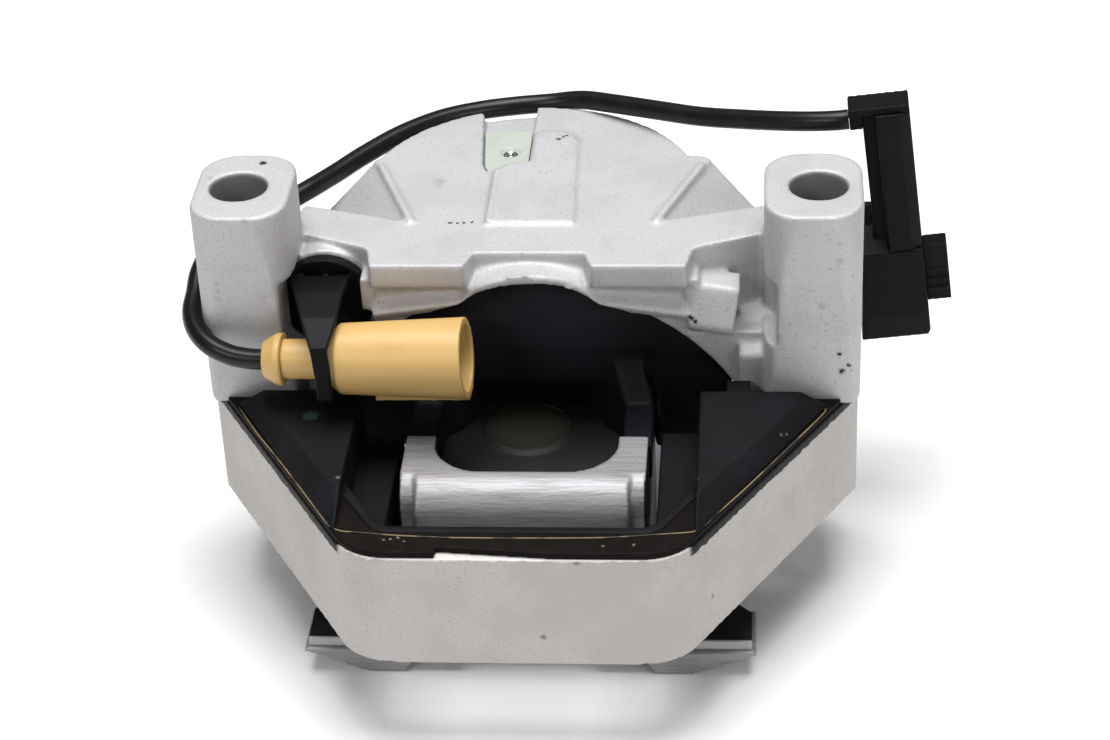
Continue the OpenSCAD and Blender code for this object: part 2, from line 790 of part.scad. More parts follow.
module spring_collar() {
    outer = chamber_bore_r - skin_t;
    color(steel_grey) translate([0, chamber_y, 0]) rotate_extrude($fn = 96)
        polygon([[outer - collar_t - 3, flange_z], [outer, flange_z], [outer, collar_top_z],
                 [outer - collar_t, collar_top_z], [outer - collar_t, plate_z],
                 [outer - collar_t - 3, plate_z]]);
}

module plate_ports(z, h) {
    for (i = [0:7]) rotate([0, 0, 45 * i]) translate([8, 0, z]) cylinder(r = 2, h = h, $fn = 24);
    translate([0, 0, z]) cylinder(r = 2.5, h = h, $fn = 24);
}

// Lower half of the channel plate, with half of the ring channel and the membrane seat
module channel_plate_lower() {
    color("#b9bcc0") translate([0, chamber_y, plate_z]) difference() {
        cylinder(r = pack_r, h = plate_t);
        translate([0, 0, plate_t - 2.4]) difference() {
            cylinder(r = 27, h = 3);
            translate([0, 0, -1]) cylinder(r = 20, h = 5);
            translate([18, -2, -1]) cube([12, 4, 5]);
        }
        translate([0, 0, plate_t - membrane_t / 2]) cylinder(r = membrane_r + fit_gap, h = 3);
        plate_ports(-1, plate_t + 2);
        translate([23.5, 5, -1]) cylinder(r = 2.4, h = 6, $fn = 24);
    }
}

module channel_plate_upper() {
    color("#b9bcc0") translate([0, chamber_y, upper_plate_z]) difference() {
        cylinder(r = pack_r, h = plate_t);
        translate([0, 0, -1]) cylinder(r = membrane_r + fit_gap, h = 1 + membrane_t / 2);
        plate_ports(-1, plate_t + 2);
        translate([23.5, -5, -1]) cylinder(r = 2.4, h = 6, $fn = 24);
    }
}

module decoupler_membrane() {
    color(rubber_black) translate([0, chamber_y, upper_plate_z - membrane_t / 2])
        cylinder(r = membrane_r, h = membrane_t);
}

// Rolling rubber bellows over the plates
module bellows() {
    top = ceiling_z - 2 - bellows_z;
    color(rubber_black) translate([0, chamber_y, bellows_z]) rotate_extrude()
        polygon([[pack_r - 3.2, 0], [pack_r, 0], [pack_r, rim_h], [pack_r - 3.2, rim_h],
                 [18, top], [0, top - 1], [0, top - 1 - bellows_wall], [17, top - bellows_wall],
                 [pack_r - 4.6, rim_h - bellows_wall]]);
}

module bellows_ring() {
    color(steel_grey) translate([0, chamber_y, bellows_z + rim_h]) difference() {
        cylinder(r = pack_r, h = ceiling_z - bellows_z - rim_h);
        translate([0, 0, -1]) cylinder(r = pack_r - 2.4, h = 10);
    }
}

// White plastic plug in the lid's notch, with its stem in the vent hole
module vent_plug() {
    color(white_plastic) difference() {
        union() {
            translate([0, 0, notch_z]) linear_extrude(plug_t)
                polygon([[-15.2, 58], [-13.8, 40.6], [-12.7, 36.9], [-11, 36.9], [-9.1, 39.9],
                         [-3.4, 41.3], [-3.4, 57.2], [-4.4, 58.4]]);
            translate([plug_x, plug_y, ceiling_z])
                cylinder(r = plug_stem_r - fit_gap, h = notch_z - ceiling_z + 1);
        }
        translate([plug_x, plug_y, ceiling_z - 1]) cylinder(r = rivet_r, h = 10, $fn = 32);
        translate([plug_x, plug_y, notch_z + 1])
            cylinder(r = rivet_head_r + fit_gap, h = 10, $fn = 32);
    }
}

module vent_rivet() {
    color(steel_grey) translate([plug_x, plug_y, 0]) union() {
        translate([0, 0, ceiling_z]) cylinder(r = rivet_r, h = notch_z + 1 - ceiling_z, $fn = 32);
        translate([0, 0, notch_z + 1]) cylinder(r = rivet_head_r, h = 0.6, $fn = 32);
    }
}

// Places children on the connector's axis, with X along it
module on_shell_axis() {
    translate([shell_x, shell_y, shell_z]) rotate([0, -shell_pitch, shell_yaw]) children();
}

module along_x(start, len, r) {
    translate([start, 0, 0]) rotate([0, 90, 0]) cylinder(r = r, h = len);
}

module connector_shell() {
    body_start = neck_end + nose_len;
    color(beige_plastic) on_shell_axis() difference() {
        union() {
            along_x(cap_len, neck_end - cap_len + 1, neck_r);
            translate([neck_end, 0, 0]) rotate([0, 90, 0])
                cylinder(r1 = neck_r + 0.6, r2 = shell_r - shell_draft, h = nose_len);
            translate([body_start - e, 0, 0]) rotate([0, 90, 0])
                cylinder(r1 = shell_r - shell_draft, r2 = shell_r, h = shell_len - body_start + e);
            translate([rail_x, -rail_w / 2, -shell_r - rail_h]) cube([shell_len - rail_x, rail_w, 3]);
        }
        along_x(shell_len - mouth_depth, mouth_depth + 1, shell_r - mouth_wall);
        translate([shell_len - 0.6, -20, 0]) rotate([0, mouth_slant, 0])
            translate([0, 0, -30]) cube([10, 40, 60]);
        along_x(cap_len - 1, neck_end, lead_d / 2);
    }
}

module connector_cap() {
    rim = 1.4;
    color(beige_plastic) on_shell_axis() difference() {
        union() {
            rotate([0, 90, 0])
                cylinder(r1 = neck_r - 0.3, r2 = neck_r + cap_flare, h = cap_len - rim);
            along_x(cap_len - rim, rim, neck_r + cap_flare);
        }
        along_x(-1, cap_len + 2, lead_d / 2);
    }
}

// Contact carrier at the bottom of the connector's mouth
module connector_insert() {
    color("#3a3a3d") on_shell_axis() difference() {
        along_x(shell_len - mouth_depth, insert_len, shell_r - mouth_wall);
        for (y = [-pin_y, pin_y])
            translate([0, y, 0]) along_x(shell_len - mouth_depth - 1, insert_len + 2, pin_r, $fn = 24);
    }
}

module connector_pins() {
    color(brass_yellow) on_shell_axis()
        for (y = [-pin_y, pin_y]) translate([0, y, 0])
            along_x(shell_len - mouth_depth, pin_len, pin_r, $fn = 24);
}

// Push-in clip: a head on the boss and one strap that loops round the connector's neck
module strap_bar(at, w) {
    translate(at - [w / 2, clip_t / 2, clip_t / 2]) cube([w, clip_t, clip_t]);
}

module lead_clip() {
    head_y = clip_face_y - clip_head_t;
    // Middle of the strap and its width at each bend, from the head round to its foot
    bends = [
        [[-48.4, head_y - 0.6, 56.3], 13.6], [[-47.4, -12, 57.6], 10.9], [[-46.2, -21, 56.4], 8],
        [[-45.6, -28.6, 53], 3.6], [[-45, -29.8, 47.8], 3.5], [[-44.9, -29.6, 41.2], 3.5],
        [[-44.9, -22.5, 35], 3.5], [[-45, -13, 36.8], 4], [[-45.4, head_y - 0.6, 44.5], 6]
    ];
    color(black_plastic) union() {
        difference() {
            translate([clip_x, clip_face_y, clip_z]) rotate([90, 0, 0])
                cylinder(r = clip_head_r, h = clip_head_t);
            translate([-flute_x - flute_r - 20, -20, 0]) cube([20 + clip_gap, 40, 80]);
            translate([-47.1, head_y + 1, clip_z + 7.2]) rotate([90, 0, 0]) linear_extrude(2)
                difference() {
                    square([10.6, 2.1], center = true);
                    translate([0, 21.2]) circle(21);
                }
        }
        for (i = [0:len(bends) - 2]) hull() {
            strap_bar(bends[i][0], bends[i][1]);
            strap_bar(bends[i + 1][0], bends[i + 1][1]);
        }
    }
}

// Sweep of a round section along points
function unit(v) = v / norm(v);
function tangent(p, i) = unit(p[min(i + 1, len(p) - 1)] - p[max(i - 1, 0)]);
function ring_at(c, t, r, n) =
    let(u = unit(cross(t, [0.1, 0.2, 1])), w = cross(t, u))
    [for (k = [0:n - 1]) let(a = 360 * k / n) c + r * (cos(a) * u + sin(a) * w)];

module sweep(p, r, n) {
    m = len(p);
    pts = [for (i = [0:m - 1]) each ring_at(p[i], tangent(p, i), r, n)];
    sides = [for (i = [0:m - 2], k = [0:n - 1])
        let(a = i * n + k, b = i * n + (k + 1) % n)
        each [[a, a + n, b + n], [a, b + n, b]]];
    ends = [[for (k = [0:n - 1]) k], [for (k = [n - 1:-1:0]) (m - 1) * n + k]];
    polyhedron(pts, concat(sides, ends));
}

module lead() {
    color("#151517") sweep(lead_route, lead_d / 2, lead_sides);
}

// Places children in the leaning frame of the control unit
module on_unit() {
    translate([unit_x, unit_y, unit_z]) rotate([0, -unit_lean, 0]) children();
}

module unit_housing() {
    color(black_plastic) difference() {
        on_unit() difference() {
            union() {
                intersection() {
                    rotate([90, 0, 0]) translate([0, 0, -unit_depth]) linear_extrude(unit_depth)
                        polygon([[unit_left, 0], [unit_box_w - 0.6, 0], [unit_box_w, 1.4],
                                 [unit_box_w, unit_box_h], [unit_box_w, unit_box_h + 8],
                                 [unit_left + 3.2, unit_box_h + 8], [unit_left + unit_flare, unit_box_h]]);
                    rotate([90, 0, 90]) linear_extrude(unit_box_w)
                        polygon([[1.6, 0], [0, 7.2], [0, unit_box_h], [8, unit_box_h + 3.6],
                                 [11.6, unit_box_h + 7.6], [unit_depth, unit_box_h + 7.6],
                                 [unit_depth, 0]]);
                }
                translate([column_x, cover_t, unit_box_h - e])
                    cube([unit_box_w - column_x, unit_depth - cover_t - 2,
                          unit_h - top_h - unit_box_h + e]);
            }
            translate([cover_x, -1, cover_z]) cube([cover_w + 1, 1 + cover_t, unit_h]);
        }
        at_screws(unit_depth - screw_bite) cylinder(r = screw_r, h = screw_bite + 1, $fn = 32);
    }
}

module unit_cover() {
    color("#2a2a2e") on_unit() translate([cover_x, 0, cover_z]) linear_extrude(unit_h - top_h - cover_z)
        polygon([[0, 0], [cover_w - 2.5, 0], [cover_w, 1.6], [cover_w, cover_t], [0, cover_t]]);
}

module unit_top() {
    color(black_plastic) on_unit() translate([column_x - boot_len, top_y, unit_h - top_h])
        cube([unit_box_w - column_x + boot_len, unit_depth - 5, top_h]);
}

// Collar where the lead enters the unit
module lead_boot() {
    color(black_plastic) on_unit()
        translate([column_x - boot_len, boot_y, unit_h - top_h - boot_h])
        cube([boot_len, boot_w, boot_h]);
}

module unit_socket() {
    color(black_plastic) on_unit() translate([unit_box_w, cover_t, socket_z]) difference() {
        union() {
            cube([socket_len, socket_w, socket_h]);
            for (z = [3, 5.4, 7.8]) translate([0, -0.5, z]) cube([socket_len - 0.4, 1, 0.8]);
        }
        translate([socket_wall, socket_wall, 2.5])
            cube([socket_len, socket_w - 2 * socket_wall, socket_h - 5]);
    }
}

module unit_pins() {
    color(brass_yellow) on_unit()
        for (z = [-3.2, 0, 3.2])
            translate([unit_box_w + socket_wall, cover_t + 2.3, socket_z + socket_h / 2 + z])
            cube([3.4, 0.8, 0.8]);
}

module unit_screws() {
    color(steel_grey) union() {
        at_screws(unit_depth - screw_bite) cylinder(r = screw_r, h = screw_bite + arm_t, $fn = 32);
        at_screws(unit_depth + arm_t) cylinder(r = screw_head_r, h = screw_head_t, $fn = 32);
    }
}

support_casting();
stop_frame();
stop_cage();
stop_lining();
core();
left_foot_pad();
right_foot_pad();
main_spring();
spring_collar();
channel_plate_lower();
channel_plate_upper();
decoupler_membrane();
bellows();
bellows_ring();
vent_plug();
vent_rivet();
connector_shell();
connector_cap();
connector_insert();
connector_pins();
lead_clip();
lead();
unit_housing();
unit_cover();
unit_top();
lead_boot();
unit_socket();
unit_pins();
unit_screws();
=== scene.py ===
import math
import bmesh
import bpy
from mathutils import Matrix, Vector


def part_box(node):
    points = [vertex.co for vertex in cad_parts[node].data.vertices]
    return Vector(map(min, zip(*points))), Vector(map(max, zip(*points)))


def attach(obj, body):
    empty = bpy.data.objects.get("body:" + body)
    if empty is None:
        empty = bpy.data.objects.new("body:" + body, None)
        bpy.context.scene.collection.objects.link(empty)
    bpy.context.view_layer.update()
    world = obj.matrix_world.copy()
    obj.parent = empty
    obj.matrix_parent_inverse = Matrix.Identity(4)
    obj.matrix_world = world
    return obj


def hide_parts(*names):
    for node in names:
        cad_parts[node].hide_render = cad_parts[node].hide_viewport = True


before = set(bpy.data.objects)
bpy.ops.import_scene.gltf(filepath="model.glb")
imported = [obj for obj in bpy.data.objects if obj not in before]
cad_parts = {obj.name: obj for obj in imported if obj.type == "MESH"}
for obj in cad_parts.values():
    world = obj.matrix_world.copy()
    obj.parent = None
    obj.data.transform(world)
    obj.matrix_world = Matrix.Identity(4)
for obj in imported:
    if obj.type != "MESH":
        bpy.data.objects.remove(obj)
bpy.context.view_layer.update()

# Camera
# A long lens looks down at the mount's open front, a little from its right.
# The three angles and the distance set the lens so that the bolt bores, the
# frame's corners and the feet fall where the photograph has them.
mm = 0.001
photo_w = 1110
focal_px = 2768.4
tilt = math.radians(32.47)
turn = math.radians(-5.20)
roll = math.radians(-2.65)
distance = 666.55 * mm
look_right = 4.57 * mm
look_up = 24.72 * mm
back = Vector((-math.sin(turn) * math.cos(tilt), -math.cos(turn) * math.cos(tilt), math.sin(tilt)))
level_right = Vector((math.cos(turn), -math.sin(turn), 0))
level_up = back.cross(level_right)
right = level_right * math.cos(roll) + level_up * math.sin(roll)
up = level_up * math.cos(roll) - level_right * math.sin(roll)
eye = back * distance + level_right * look_right + level_up * look_up
camera = bpy.data.objects.new("camera", bpy.data.cameras.new("camera"))
bpy.context.scene.collection.objects.link(camera)
camera.data.sensor_width = 36
camera.data.lens = focal_px * camera.data.sensor_width / photo_w
camera.data.clip_start = 0.05
camera.data.clip_end = 20
camera.matrix_world = Matrix(((right.x, up.x, back.x, eye.x), (right.y, up.y, back.y, eye.y),
                              (right.z, up.z, back.z, eye.z), (0, 0, 0, 1)))
bpy.context.scene.camera = camera


# Floor and studio light
# A white table under the mount, a wide soft light high above its front, a
# smaller one from the front left that throws the strap's shadow, and a weak
# one from the right.
def principled(name, color, roughness, metallic=0.0, specular=0.5):
    """Material with one colour, the base that every section paints on."""
    material = bpy.data.materials.new(name)
    material.use_nodes = True
    shader = material.node_tree.nodes["Principled BSDF"]
    shader.inputs["Base Color"].default_value = (*color, 1)
    shader.inputs["Roughness"].default_value = roughness
    shader.inputs["Metallic"].default_value = metallic
    shader.inputs["Specular IOR Level"].default_value = specular
    return material


def add_mesh(name, verts, faces, edges=()):
    """New piece from a list of points, in metres, and faces."""
    mesh = bpy.data.meshes.new(name)
    mesh.from_pydata(verts, edges, faces)
    piece = bpy.data.objects.new(name, mesh)
    bpy.context.scene.collection.objects.link(piece)
    return piece


floor_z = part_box("core")[0][2]
floor_half = 4.0
floor_corners = [(-1, -1), (1, -1), (1, 1), (-1, 1)]
floor = add_mesh("floor", [(x * floor_half, y * floor_half, floor_z) for x, y in floor_corners], [(0, 1, 2, 3)])
floor.data.materials.append(principled("white table", (0.92, 0.92, 0.92), roughness=0.7, specular=0.2))

room_light = 0.16
world = bpy.data.worlds.new("studio")
bpy.context.scene.world = world
world.use_nodes = True
world.node_tree.nodes["Background"].inputs["Color"].default_value = (1, 1, 1, 1)
world.node_tree.nodes["Background"].inputs["Strength"].default_value = room_light
bpy.context.scene.view_settings.view_transform = "Standard"
lamp_aim = Vector((0, 0, 0.03))


def soft_light(name, place, size, watts):
    """Square or oblong lamp, in metres and watts, aimed at the middle of the mount."""
    lamp = bpy.data.objects.new(name, bpy.data.lights.new(name, "AREA"))
    lamp.data.shape = "RECTANGLE"
    lamp.data.size = size[0]
    lamp.data.size_y = size[1]
    lamp.data.energy = watts
    lamp.location = place
    lamp.rotation_euler = (lamp_aim - Vector(place)).to_track_quat("-Z", "Y").to_euler()
    bpy.context.scene.collection.objects.link(lamp)


soft_light("overhead light", place=(0.0, 0.1, 1.2), size=(0.9, 0.8), watts=20)
soft_light("front left light", place=(-0.55, -0.85, 0.7), size=(0.35, 0.3), watts=2.8)
soft_light("right light", place=(0.75, -0.75, 0.5), size=(0.5, 0.5), watts=2.4)


# Support casting
# The upper bracket with its two bolt posts, the arched bridge and the fluid
# chamber's housing is one pressure casting of aluminium, blasted to a fine
# matt grain, with small radii on every edge and a few dark casting pits.
def copy_of(node):
    """New piece with a copy of a CAD node's mesh, its doubled points merged."""
    weld = 0.002 * mm
    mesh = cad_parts[node].data.copy()
    work = bmesh.new()
    work.from_mesh(mesh)
    bmesh.ops.remove_doubles(work, verts=work.verts, dist=weld)
    work.to_mesh(mesh)
    work.free()
    mesh.materials.clear()
    piece = bpy.data.objects.new(node + "_finished", mesh)
    bpy.context.scene.collection.objects.link(piece)
    return piece


def bake_modifiers(piece):
    """Turn what the modifiers make into the piece's own mesh."""
    view = bpy.context.evaluated_depsgraph_get()
    mesh = bpy.data.meshes.new_from_object(piece.evaluated_get(view))
    piece.modifiers.clear()
    old = piece.data
    piece.data = mesh
    bpy.data.meshes.remove(old)


def soften(piece, voxel, rounds, triangles):
    """Give a piece the rounded edges of a casting or moulding, within a number of triangles."""
    remesh = piece.modifiers.new("remesh", "REMESH")
    remesh.mode = "VOXEL"
    remesh.voxel_size = voxel
    remesh.use_smooth_shade = True
    smooth = piece.modifiers.new("smooth", "SMOOTH")
    smooth.factor = 0.5
    smooth.iterations = rounds
    bake_modifiers(piece)
    count = 2 * len(piece.data.polygons)
    if count > triangles:
        thin = piece.modifiers.new("thin", "DECIMATE")
        thin.ratio = triangles / count
        bake_modifiers(piece)
    piece.data.shade_smooth()


def dress(piece, node, material):
    """Give a finished piece its material and let it stand for its CAD node."""
    piece.data.materials.clear()
    piece.data.materials.append(material)
    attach(piece, "root")
    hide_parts(node)


def cut_away(piece, tool):
    """Take the tool's shape out of the piece, and the tool out of the scene."""
    cut = piece.modifiers.new("cut", "BOOLEAN")
    cut.operation = "DIFFERENCE"
    cut.solver = "EXACT"
    cut.object = tool
    bake_modifiers(piece)
    tool_mesh = tool.data
    bpy.data.objects.remove(tool)
    bpy.data.meshes.remove(tool_mesh)


def place_of(material):
    """The place on the object, in metres, that all patterns are laid out by."""
    nodes = material.node_tree.nodes
    if "place" not in nodes:
        nodes.new("ShaderNodeTexCoord").name = "place"
    return nodes["place"].outputs["Object"]


def noise(material, scale, detail=3, stretch=(1, 1, 1)):
    """Cloudy pattern, finer with a larger scale and drawn out along an axis with a small stretch."""
    nodes = material.node_tree.nodes
    links = material.node_tree.links
    mapping = nodes.new("ShaderNodeMapping")
    mapping.inputs["Scale"].default_value = stretch
    made = nodes.new("ShaderNodeTexNoise")
    made.inputs["Scale"].default_value = scale
    made.inputs["Detail"].default_value = detail
    links.new(place_of(material), mapping.inputs["Vector"])
    links.new(mapping.outputs["Vector"], made.inputs["Vector"])
    return made


def ramp(material, value, start, end):
    """0 at the start, 1 at the end, with a soft rise between them."""
    made = material.node_tree.nodes.new("ShaderNodeMapRange")
    made.interpolation_type = "SMOOTHSTEP"
    made.inputs["From Min"].default_value = start
    made.inputs["From Max"].default_value = end
    material.node_tree.links.new(value, made.inputs["Value"])
    return made.outputs["Result"]


def joined(material, operation, first, second):
    """Two masks or numbers put together by a sum or comparison."""
    made = material.node_tree.nodes.new("ShaderNodeMath")
    made.operation = operation
    for socket, value in zip(made.inputs, (first, second)):
        if isinstance(value, (int, float)):
            socket.default_value = value
        else:
            material.node_tree.links.new(value, socket)
    return made.outputs[0]


def tint(material, mask, color):
    """Lay a colour over what the material has so far, as strong as the mask."""
    links = material.node_tree.links
    mix = material.node_tree.nodes.new("ShaderNodeMix")
    mix.data_type = "RGBA"
    base = material.node_tree.nodes["Principled BSDF"].inputs["Base Color"]
    if base.is_linked:
        links.new(base.links[0].from_socket, mix.inputs[6])
    else:
        mix.inputs[6].default_value = base.default_value
    mix.inputs[7].default_value = (*color, 1)
    links.new(mask, mix.inputs[0])
    links.new(mix.outputs[2], base)


def mottle(material, color, scale, start, end, detail=3, stretch=(1, 1, 1)):
    """Lay a colour over the patches where a noise rises from start to end."""
    tint(material, ramp(material, noise(material, scale, detail, stretch).outputs["Fac"], start, end), color)


def grain(material, scale, strength, reach, detail=4, stretch=(1, 1, 1)):
    """Fine relief of the surface, as deep as the reach."""
    nodes = material.node_tree.nodes
    links = material.node_tree.links
    bump = nodes.new("ShaderNodeBump")
    bump.inputs["Strength"].default_value = strength
    bump.inputs["Distance"].default_value = reach
    links.new(noise(material, scale, detail, stretch).outputs["Fac"], bump.inputs["Height"])
    links.new(bump.outputs["Normal"], nodes["Principled BSDF"].inputs["Normal"])


def spots(material, marks, blur=0.45):
    """1 inside any of the ragged round marks (x, y, z, radius) in millimetres, 0 outside."""
    sway = 1.2
    nodes = material.node_tree.nodes
    links = material.node_tree.links
    ragged = noise(material, 900, 2)
    shift = nodes.new("ShaderNodeVectorMath")
    shift.operation = "MULTIPLY_ADD"
    links.new(ragged.outputs["Color"], shift.inputs[0])
    shift.inputs[1].default_value = (sway * mm, sway * mm, sway * mm)
    links.new(place_of(material), shift.inputs[2])
    total = None
    for x, y, z, radius in marks:
        away = nodes.new("ShaderNodeVectorMath")
        away.operation = "DISTANCE"
        links.new(shift.outputs[0], away.inputs[0])
        away.inputs[1].default_value = [(value + sway / 2) * mm for value in (x, y, z)]
        inside = ramp(material, away.outputs["Value"], radius * (1 + blur) * mm, radius * (1 - blur) * mm)
        total = inside if total is None else joined(material, "MAXIMUM", total, inside)
    return total


def ring_mark(material, x, y, radius, width):
    """1 on a thin upright circle round x, y in millimetres."""
    nodes = material.node_tree.nodes
    links = material.node_tree.links
    flat = nodes.new("ShaderNodeVectorMath")
    flat.operation = "MULTIPLY"
    flat.inputs[1].default_value = (1, 1, 0)
    away = nodes.new("ShaderNodeVectorMath")
    away.operation = "DISTANCE"
    away.inputs[1].default_value = (x * mm, y * mm, 0)
    links.new(place_of(material), flat.inputs[0])
    links.new(flat.outputs[0], away.inputs[0])
    off = joined(material, "ABSOLUTE", joined(material, "SUBTRACT", away.outputs["Value"], radius * mm), 0)
    return ramp(material, off, width * mm, 0.3 * width * mm)


def cast_aluminium(name, color, roughness, metallic):
    """Blasted casting: dull clouds, dark specks and a sandy grain."""
    material = principled(name, color, roughness, metallic, specular=0.3)
    mottle(material, [value * 0.93 for value in color], scale=70, start=0.42, end=0.66)
    mottle(material, [value * 0.72 for value in color], scale=1700, start=0.56, end=0.74, detail=2)
    grain(material, scale=1500, strength=0.6, reach=0.18 * mm)
    return material


def crown_cutter():
    """Clears the wall over the arch's crown down to the lip, which is level across and bends with the arch."""
    rear_y, front_y, clear_z = -2.9, -9.6, 65
    rear_half, rear_z, rear_bend = 12.5, 60.6, 116
    front_half, lip_r, lip_z = 14.7, 19.9, 40.7
    steps = 12
    verts = []
    for i in range(-steps, steps + 1):
        rear_x, front_x = rear_half * i / steps, front_half * i / steps
        rear_low = rear_z - rear_x ** 2 / rear_bend
        front_low = lip_z + math.sqrt(lip_r ** 2 - front_x ** 2)
        for x, y, z in ((rear_x, rear_y, rear_low), (front_x, front_y, front_low),
                        (front_x, front_y, clear_z), (rear_x, rear_y, clear_z)):
            verts.append((x * mm, y * mm, z * mm))
    faces = [(3, 2, 1, 0), tuple(len(verts) - 4 + i for i in range(4))]
    for k in range(2 * steps):
        faces += [(4 * k + i, 4 * k + (i + 1) % 4, 4 * k + 4 + (i + 1) % 4, 4 * k + 4 + i) for i in range(4)]
    piece = add_mesh("crown cutter", verts, faces)
    work = bmesh.new()
    work.from_mesh(piece.data)
    bmesh.ops.recalc_face_normals(work, faces=work.faces)
    work.to_mesh(piece.data)
    work.free()
    return piece


def add_blocks(piece, x, y, z):
    """Add a plain block, and its mirror image, to a piece's mesh before it is softened."""
    work = bmesh.new()
    work.from_mesh(piece.data)
    size = Vector((x[1] - x[0], y[1] - y[0], z[1] - z[0])) * mm
    for side in (1, -1):
        center = Vector((side * (x[0] + x[1]) / 2, (y[0] + y[1]) / 2, (z[0] + z[1]) / 2)) * mm
        bmesh.ops.create_cube(work, size=1, matrix=Matrix.Translation(center) @ Matrix.Diagonal((*size, 1)))
    work.to_mesh(piece.data)
    work.free()


blasted = cast_aluminium("blasted casting", (0.52, 0.515, 0.53), roughness=0.6, metallic=0.35)
pits = [(70.7, -13, 42.1, 0.6), (72.8, -12.6, 38.9, 0.6), (71.3, -12.6, 37.3, 0.8), (36.9, -8.2, 48.9, 0.7),
        (38, -8.2, 48, 0.6), (3.4, 51, 63.4, 0.7), (4.4, 52, 63.4, 0.6), (5.4, 52.8, 63.4, 0.45),
        (-61.7, 11.1, 78.9, 0.8), (-19.3, 11, 63, 0.5), (-17.6, 11, 63, 0.4), (-16, 11.1, 63, 0.5),
        (-14.2, 11.3, 63, 0.4)]
tint(blasted, spots(blasted, pits), (0.02, 0.018, 0.016))
bolt_x = 65.7
bore_r = 6.2
# The bolt bores' inner walls are painted a darker grey: painted shade in the bores.
for bore_x in (-bolt_x, bolt_x):
    tint(blasted, ring_mark(blasted, bore_x, 0, radius=bore_r, width=0.9), (0.27, 0.262, 0.265))
stains = [(-23.7, 31.1, 63.4, 1.3), (-23.9, 29, 63.4, 0.8), (66.5, -13.8, 55.4, 0.8), (70.3, -15, 72.1, 0.6),
          (70.3, -14.8, 67.5, 0.8), (-69.9, -14, 61.6, 0.6), (-70.1, -14, 59.5, 0.6), (-70.3, -14, 57.4, 0.6),
          (-62, -15, 78.4, 0.6), (-72.9, 4, 78.9, 0.6)]
tint(blasted, spots(blasted, stains, blur=0.8), (0.4, 0.39, 0.385))
casting = copy_of("support_casting")
cut_away(casting, crown_cutter())
add_blocks(casting, (35.6, 38.8), (-6.6, -0.5), (50, 58.2))
soften(casting, voxel=0.5 * mm, rounds=9, triangles=190000)
dress(casting, "support_casting", blasted)


# Stop frame
# The lower frame is a separate aluminium casting, open towards the rear. Its
# sawn front is smoother and a little yellower than the bracket, with a bright
# burr on its top edge. The cage's coat runs over the slanted sides' tops.
def axis_of(material, axis):
    """The place along one axis, in metres."""
    nodes = material.node_tree.nodes
    if "axes" not in nodes:
        nodes.new("ShaderNodeSeparateXYZ").name = "axes"
        material.node_tree.links.new(place_of(material), nodes["axes"].inputs[0])
    return nodes["axes"].outputs[axis]


def span(material, axis, low, high, soft=0.3):
    """1 between two places along an axis, in millimetres."""
    value = axis_of(material, axis)
    rise = ramp(material, value, (low - soft) * mm, (low + soft) * mm)
    fall = ramp(material, value, (high + soft) * mm, (high - soft) * mm)
    return joined(material, "MULTIPLY", rise, fall)


def overlap(material, *masks):
    """Where all the masks are 1."""
    total = masks[0]
    for mask in masks[1:]:
        total = joined(material, "MULTIPLY", total, mask)
    return total


sawn = cast_aluminium("frame casting", (0.48, 0.457, 0.44), roughness=0.55, metallic=0.35)
mottle(sawn, (0.43, 0.405, 0.387), scale=34, start=0.5, end=0.66, detail=4)
scuffs = [(6.1, -73, 7.4, 0.6), (14, -73, 27.5, 0.7), (42.6, -61, 9.8, 0.6), (31.3, -73, 8.3, 0.5)]
tint(sawn, spots(sawn, scuffs), (0.22, 0.21, 0.2))
mottle(sawn, (0.37, 0.35, 0.335), scale=160, start=0.66, end=0.74, stretch=(1, 1, 0.12))
ragged_by = 1.6
ragged = joined(sawn, "MULTIPLY", noise(sawn, 500, 3).outputs["Fac"], ragged_by * mm)
ragged_z = joined(sawn, "ADD", axis_of(sawn, "Z"), ragged)
burr_z = 28.3
burr = ramp(sawn, ragged_z, burr_z * mm, (burr_z + 0.4) * mm)
tint(sawn, overlap(sawn, burr, span(sawn, "Y", -80, -62)), (0.68, 0.66, 0.64))
overrun_z = 26.5
overrun = ramp(sawn, ragged_z, overrun_z * mm, (overrun_z + 0.2) * mm)
tint(sawn, overlap(sawn, overrun, span(sawn, "Y", -68, -7, soft=0.6)), (0.002, 0.0015, 0.0012))
stop_frame = copy_of("stop_frame")
soften(stop_frame, voxel=0.5 * mm, rounds=3, triangles=90000)
dress(stop_frame, "stop_frame", sawn)


# Stop cage
# A pressed steel cage lies on the frame's rim and lines its inner walls. It
# is dipped in a thin brown-black coat that has a faint orange-peel surface.
coat = principled("brown-black coat", (0.0055, 0.0038, 0.0032), roughness=0.6, specular=0.08)
mottle(coat, (0.0085, 0.0062, 0.0055), scale=260, start=0.45, end=0.75)
scrapes = [(-26.4, -67.6, 29.5, 0.35), (-25, -67, 29.5, 0.4), (-23.4, -68.4, 29.5, 0.3), (-27.8, -68, 29.5, 0.3),
           (19.4, -69.6, 29.5, 0.3), (26, -69, 29.5, 0.35)]
tint(coat, spots(coat, scrapes), (0.2, 0.17, 0.12))
grain(coat, scale=700, strength=0.25, reach=0.1 * mm)
cage = copy_of("stop_cage")
soften(cage, voxel=0.35 * mm, rounds=2, triangles=80000)
dress(cage, "stop_cage", coat)


# Stop lining
# Black rubber is moulded over the cage's inner side and rises into the two
# three-cornered stop pads, on which dust and handling leave a few pale marks.
# Along the edge of the rubber a thin golden line of bonding lacquer shows.
def moulded_rubber(name, color, roughness):
    """Dull rubber with paler clouds and a fine grain."""
    material = principled(name, color, roughness, specular=0.12)
    mottle(material, [value * 1.9 for value in color], scale=60, start=0.45, end=0.8, detail=4)
    grain(material, scale=1100, strength=0.3, reach=0.1 * mm)
    return material


